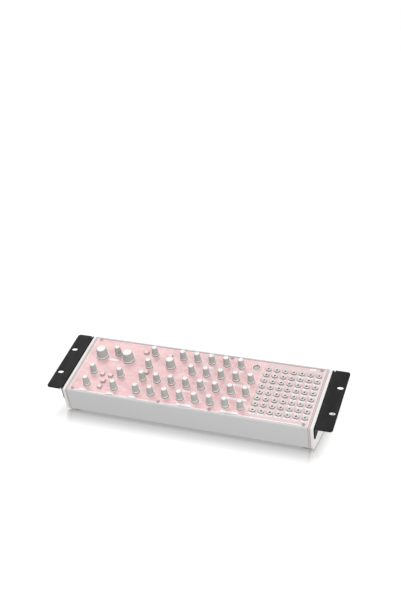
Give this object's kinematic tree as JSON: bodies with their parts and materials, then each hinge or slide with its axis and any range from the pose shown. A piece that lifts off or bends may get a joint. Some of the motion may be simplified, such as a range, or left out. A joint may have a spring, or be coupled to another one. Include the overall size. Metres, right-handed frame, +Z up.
{
  "type": "eurorack module",
  "caption": "Semi-modular synthesizer module in a wedge-shaped desktop case with turning knobs, push buttons, a patch bay, rear connectors and rack ears.",
  "frame": {"origin": "on the surface it stands on, under the middle of its bounding box", "axes": "+X to the right as the player sees it, +Y away from the player, +Z up; the panel slopes 20 degrees, so its normal is (0, -sin 20, cos 20)"},
  "size_m": [0.4826, 0.1582, 0.0981],
  "materials": {
    "case_enamel": "light grey satin enamel",
    "cheek_moulding": "pale grey fine-grained moulding",
    "ear_steel": "black powder coat",
    "panel_enamel": "pale pink satin enamel",
    "knob_moulding": "mid grey moulding with a white cap",
    "button_cap": "off-white moulding",
    "socket_metal": "bright plated metal",
    "board_laminate": "green circuit board",
    "connector_black": "black connector moulding",
    "ribbon_grey": "grey ribbon insulation",
    "foot_rubber": "black rubber",
    "cap_white": "white knob cap",
    "print_white": "white and grey panel print",
    "screw_steel": "plated screw"
  },
  "bodies": {
    "case": {"case_shell": "case_enamel", "control_board": "board_laminate", "foot_front_left": "foot_rubber", "foot_front_right": "foot_rubber", "foot_rear_left": "foot_rubber", "foot_rear_right": "foot_rubber", "front_panel": "panel_enamel", "left_cheek": "cheek_moulding", "left_rack_ear": "ear_steel", "main_board": "board_laminate", "midi_in_socket": "socket_metal", "patch_board": "socket_metal", "rear_io_board": "connector_black", "ribbon_cable": "ribbon_grey", "right_cheek": "cheek_moulding", "right_rack_ear": "ear_steel"},
    "large_knob_left_body": {"large_knob_left": "knob_moulding"},
    "large_knob_right_body": {"large_knob_right": "knob_moulding"},
    "medium_knob_body": {"medium_knob": "knob_moulding"},
    "power_rocker_body": {"power_rocker": "connector_black"},
    "push_button_1_body": {"push_button_1": "button_cap"},
    "push_button_2_body": {"push_button_2": "button_cap"},
    "push_button_3_body": {"push_button_3": "button_cap"},
    "push_button_4_body": {"push_button_4": "button_cap"},
    "push_button_5_body": {"push_button_5": "button_cap"},
    "push_button_6_body": {"push_button_6": "button_cap"},
    "push_button_7_body": {"push_button_7": "button_cap"},
    "small_knob_left_1_body": {"small_knob_left_1": "knob_moulding"},
    "small_knob_left_2_body": {"small_knob_left_2": "knob_moulding"},
    "small_knob_left_3_body": {"small_knob_left_3": "knob_moulding"},
    "small_knob_left_4_body": {"small_knob_left_4": "knob_moulding"},
    "small_knob_left_5_body": {"small_knob_left_5": "knob_moulding"},
    "small_knob_row_1_column_1_body": {"small_knob_row_1_column_1": "knob_moulding"},
    "small_knob_row_1_column_2_body": {"small_knob_row_1_column_2": "knob_moulding"},
    "small_knob_row_1_column_3_body": {"small_knob_row_1_column_3": "knob_moulding"},
    "small_knob_row_1_column_4_body": {"small_knob_row_1_column_4": "knob_moulding"},
    "small_knob_row_1_column_5_body": {"small_knob_row_1_column_5": "knob_moulding"},
    "small_knob_row_1_column_6_body": {"small_knob_row_1_column_6": "knob_moulding"},
    "small_knob_row_1_column_7_body": {"small_knob_row_1_column_7": "knob_moulding"},
    "small_knob_row_1_column_8_body": {"small_knob_row_1_column_8": "knob_moulding"},
    "small_knob_row_2_column_1_body": {"small_knob_row_2_column_1": "knob_moulding"},
    "small_knob_row_2_column_2_body": {"small_knob_row_2_column_2": "knob_moulding"},
    "small_knob_row_2_column_3_body": {"small_knob_row_2_column_3": "knob_moulding"},
    "small_knob_row_2_column_4_body": {"small_knob_row_2_column_4": "knob_moulding"},
    "small_knob_row_2_column_5_body": {"small_knob_row_2_column_5": "knob_moulding"},
    "small_knob_row_2_column_6_body": {"small_knob_row_2_column_6": "knob_moulding"},
    "small_knob_row_2_column_7_body": {"small_knob_row_2_column_7": "knob_moulding"},
    "small_knob_row_2_column_8_body": {"small_knob_row_2_column_8": "knob_moulding"},
    "small_knob_row_3_column_1_body": {"small_knob_row_3_column_1": "knob_moulding"},
    "small_knob_row_3_column_4_body": {"small_knob_row_3_column_4": "knob_moulding"},
    "small_knob_row_3_column_5_body": {"small_knob_row_3_column_5": "knob_moulding"},
    "small_knob_row_3_column_6_body": {"small_knob_row_3_column_6": "knob_moulding"},
    "small_knob_row_3_column_7_body": {"small_knob_row_3_column_7": "knob_moulding"},
    "small_knob_row_3_column_8_body": {"small_knob_row_3_column_8": "knob_moulding"},
    "small_knob_row_4_column_1_body": {"small_knob_row_4_column_1": "knob_moulding"},
    "small_knob_row_4_column_3_body": {"small_knob_row_4_column_3": "knob_moulding"},
    "small_knob_row_4_column_4_body": {"small_knob_row_4_column_4": "knob_moulding"},
    "small_knob_row_4_column_5_body": {"small_knob_row_4_column_5": "knob_moulding"},
    "small_knob_row_4_column_6_body": {"small_knob_row_4_column_6": "knob_moulding"},
    "small_knob_row_4_column_7_body": {"small_knob_row_4_column_7": "knob_moulding"}
  },
  "joints": [
    {"name": "large_knob_left_turn", "type": "hinge", "parent": "case", "child": "large_knob_left_body", "pos_m": [-0.17653, 0.00529, 0.07399], "axis": [0, -0.342, 0.9397], "range_deg": [-150, 150]},
    {"name": "large_knob_right_turn", "type": "hinge", "parent": "case", "child": "large_knob_right_body", "pos_m": [-0.12827, 0.00529, 0.07399], "axis": [0, -0.342, 0.9397], "range_deg": [-150, 150]},
    {"name": "medium_knob_turn", "type": "hinge", "parent": "case", "child": "medium_knob_body", "pos_m": [-0.05156, 0.00387, 0.07347], "axis": [0, -0.342, 0.9397], "range_deg": [-150, 150]},
    {"name": "power_rocker_tilt", "type": "hinge", "parent": "case", "child": "power_rocker_body", "pos_m": [0.16662, 0.05605, 0.05948], "axis": [1, 0, 0], "range_deg": [0, 20]},
    {"name": "push_button_1_press", "type": "slide", "parent": "case", "child": "push_button_1_body", "axis": [0, 0.342, -0.9397], "range_m": [0, 0.0015], "stiffness_N_per_m": 200},
    {"name": "push_button_2_press", "type": "slide", "parent": "case", "child": "push_button_2_body", "axis": [0, 0.342, -0.9397], "range_m": [0, 0.0015], "stiffness_N_per_m": 200},
    {"name": "push_button_3_press", "type": "slide", "parent": "case", "child": "push_button_3_body", "axis": [0, 0.342, -0.9397], "range_m": [0, 0.0015], "stiffness_N_per_m": 200},
    {"name": "push_button_4_press", "type": "slide", "parent": "case", "child": "push_button_4_body", "axis": [0, 0.342, -0.9397], "range_m": [0, 0.0015], "stiffness_N_per_m": 200},
    {"name": "push_button_5_press", "type": "slide", "parent": "case", "child": "push_button_5_body", "axis": [0, 0.342, -0.9397], "range_m": [0, 0.0015], "stiffness_N_per_m": 200},
    {"name": "push_button_6_press", "type": "slide", "parent": "case", "child": "push_button_6_body", "axis": [0, 0.342, -0.9397], "range_m": [0, 0.0015], "stiffness_N_per_m": 200},
    {"name": "push_button_7_press", "type": "slide", "parent": "case", "child": "push_button_7_body", "axis": [0, 0.342, -0.9397], "range_m": [0, 0.0015], "stiffness_N_per_m": 200},
    {"name": "small_knob_left_1_turn", "type": "hinge", "parent": "case", "child": "small_knob_left_1_body", "pos_m": [-0.17602, -0.05963, 0.05036], "axis": [0, -0.342, 0.9397], "range_deg": [-150, 150]},
    {"name": "small_knob_left_2_turn", "type": "hinge", "parent": "case", "child": "small_knob_left_2_body", "pos_m": [-0.12725, -0.05963, 0.05036], "axis": [0, -0.342, 0.9397], "range_deg": [-150, 150]},
    {"name": "small_knob_left_3_turn", "type": "hinge", "parent": "case", "child": "small_knob_left_3_body", "pos_m": [-0.17602, -0.03128, 0.06068], "axis": [0, -0.342, 0.9397], "range_deg": [-150, 150]},
    {"name": "small_knob_left_4_turn", "type": "hinge", "parent": "case", "child": "small_knob_left_4_body", "pos_m": [-0.12725, -0.03128, 0.06068], "axis": [0, -0.342, 0.9397], "range_deg": [-150, 150]},
    {"name": "small_knob_left_5_turn", "type": "hinge", "parent": "case", "child": "small_knob_left_5_body", "pos_m": [-0.15113, 0.01493, 0.0775], "axis": [0, -0.342, 0.9397], "range_deg": [-150, 150]},
    {"name": "small_knob_row_1_column_1_turn", "type": "hinge", "parent": "case", "child": "small_knob_row_1_column_1_body", "pos_m": [-0.08763, -0.05963, 0.05036], "axis": [0, -0.342, 0.9397], "range_deg": [-150, 150]},
    {"name": "small_knob_row_1_column_2_turn", "type": "hinge", "parent": "case", "child": "small_knob_row_1_column_2_body", "pos_m": [-0.06223, -0.05963, 0.05036], "axis": [0, -0.342, 0.9397], "range_deg": [-150, 150]},
    {"name": "small_knob_row_1_column_3_turn", "type": "hinge", "parent": "case", "child": "small_knob_row_1_column_3_body", "pos_m": [-0.03683, -0.05963, 0.05036], "axis": [0, -0.342, 0.9397], "range_deg": [-150, 150]},
    {"name": "small_knob_row_1_column_4_turn", "type": "hinge", "parent": "case", "child": "small_knob_row_1_column_4_body", "pos_m": [-0.01143, -0.05963, 0.05036], "axis": [0, -0.342, 0.9397], "range_deg": [-150, 150]},
    {"name": "small_knob_row_1_column_5_turn", "type": "hinge", "parent": "case", "child": "small_knob_row_1_column_5_body", "pos_m": [0.01397, -0.05963, 0.05036], "axis": [0, -0.342, 0.9397], "range_deg": [-150, 150]},
    {"name": "small_knob_row_1_column_6_turn", "type": "hinge", "parent": "case", "child": "small_knob_row_1_column_6_body", "pos_m": [0.03937, -0.05963, 0.05036], "axis": [0, -0.342, 0.9397], "range_deg": [-150, 150]},
    {"name": "small_knob_row_1_column_7_turn", "type": "hinge", "parent": "case", "child": "small_knob_row_1_column_7_body", "pos_m": [0.06477, -0.05963, 0.05036], "axis": [0, -0.342, 0.9397], "range_deg": [-150, 150]},
    {"name": "small_knob_row_1_column_8_turn", "type": "hinge", "parent": "case", "child": "small_knob_row_1_column_8_body", "pos_m": [0.09017, -0.05963, 0.05036], "axis": [0, -0.342, 0.9397], "range_deg": [-150, 150]},
    {"name": "small_knob_row_2_column_1_turn", "type": "hinge", "parent": "case", "child": "small_knob_row_2_column_1_body", "pos_m": [-0.08763, -0.03128, 0.06068], "axis": [0, -0.342, 0.9397], "range_deg": [-150, 150]},
    {"name": "small_knob_row_2_column_2_turn", "type": "hinge", "parent": "case", "child": "small_knob_row_2_column_2_body", "pos_m": [-0.06223, -0.03128, 0.06068], "axis": [0, -0.342, 0.9397], "range_deg": [-150, 150]},
    {"name": "small_knob_row_2_column_3_turn", "type": "hinge", "parent": "case", "child": "small_knob_row_2_column_3_body", "pos_m": [-0.03683, -0.03128, 0.06068], "axis": [0, -0.342, 0.9397], "range_deg": [-150, 150]},
    {"name": "small_knob_row_2_column_4_turn", "type": "hinge", "parent": "case", "child": "small_knob_row_2_column_4_body", "pos_m": [-0.01143, -0.03128, 0.06068], "axis": [0, -0.342, 0.9397], "range_deg": [-150, 150]},
    {"name": "small_knob_row_2_column_5_turn", "type": "hinge", "parent": "case", "child": "small_knob_row_2_column_5_body", "pos_m": [0.01397, -0.03128, 0.06068], "axis": [0, -0.342, 0.9397], "range_deg": [-150, 150]},
    {"name": "small_knob_row_2_column_6_turn", "type": "hinge", "parent": "case", "child": "small_knob_row_2_column_6_body", "pos_m": [0.03937, -0.03128, 0.06068], "axis": [0, -0.342, 0.9397], "range_deg": [-150, 150]},
    {"name": "small_knob_row_2_column_7_turn", "type": "hinge", "parent": "case", "child": "small_knob_row_2_column_7_body", "pos_m": [0.06477, -0.03128, 0.06068], "axis": [0, -0.342, 0.9397], "range_deg": [-150, 150]},
    {"name": "small_knob_row_2_column_8_turn", "type": "hinge", "parent": "case", "child": "small_knob_row_2_column_8_body", "pos_m": [0.09017, -0.03128, 0.06068], "axis": [0, -0.342, 0.9397], "range_deg": [-150, 150]},
    {"name": "small_knob_row_3_column_1_turn", "type": "hinge", "parent": "case", "child": "small_knob_row_3_column_1_body", "pos_m": [-0.08763, -0.00293, 0.071], "axis": [0, -0.342, 0.9397], "range_deg": [-150, 150]},
    {"name": "small_knob_row_3_column_4_turn", "type": "hinge", "parent": "case", "child": "small_knob_row_3_column_4_body", "pos_m": [-0.01143, -0.00293, 0.071], "axis": [0, -0.342, 0.9397], "range_deg": [-150, 150]},
    {"name": "small_knob_row_3_column_5_turn", "type": "hinge", "parent": "case", "child": "small_knob_row_3_column_5_body", "pos_m": [0.01397, -0.00293, 0.071], "axis": [0, -0.342, 0.9397], "range_deg": [-150, 150]},
    {"name": "small_knob_row_3_column_6_turn", "type": "hinge", "parent": "case", "child": "small_knob_row_3_column_6_body", "pos_m": [0.03937, -0.00293, 0.071], "axis": [0, -0.342, 0.9397], "range_deg": [-150, 150]},
    {"name": "small_knob_row_3_column_7_turn", "type": "hinge", "parent": "case", "child": "small_knob_row_3_column_7_body", "pos_m": [0.06477, -0.00293, 0.071], "axis": [0, -0.342, 0.9397], "range_deg": [-150, 150]},
    {"name": "small_knob_row_3_column_8_turn", "type": "hinge", "parent": "case", "child": "small_knob_row_3_column_8_body", "pos_m": [0.09017, -0.00293, 0.071], "axis": [0, -0.342, 0.9397], "range_deg": [-150, 150]},
    {"name": "small_knob_row_4_column_1_turn", "type": "hinge", "parent": "case", "child": "small_knob_row_4_column_1_body", "pos_m": [-0.08763, 0.02542, 0.08131], "axis": [0, -0.342, 0.9397], "range_deg": [-150, 150]},
    {"name": "small_knob_row_4_column_3_turn", "type": "hinge", "parent": "case", "child": "small_knob_row_4_column_3_body", "pos_m": [-0.03683, 0.02542, 0.08131], "axis": [0, -0.342, 0.9397], "range_deg": [-150, 150]},
    {"name": "small_knob_row_4_column_4_turn", "type": "hinge", "parent": "case", "child": "small_knob_row_4_column_4_body", "pos_m": [-0.01143, 0.02542, 0.08131], "axis": [0, -0.342, 0.9397], "range_deg": [-150, 150]},
    {"name": "small_knob_row_4_column_5_turn", "type": "hinge", "parent": "case", "child": "small_knob_row_4_column_5_body", "pos_m": [0.01397, 0.02542, 0.08131], "axis": [0, -0.342, 0.9397], "range_deg": [-150, 150]},
    {"name": "small_knob_row_4_column_6_turn", "type": "hinge", "parent": "case", "child": "small_knob_row_4_column_6_body", "pos_m": [0.03937, 0.02542, 0.08131], "axis": [0, -0.342, 0.9397], "range_deg": [-150, 150]},
    {"name": "small_knob_row_4_column_7_turn", "type": "hinge", "parent": "case", "child": "small_knob_row_4_column_7_body", "pos_m": [0.06477, 0.02542, 0.08131], "axis": [0, -0.342, 0.9397], "range_deg": [-150, 150]}
  ]
}
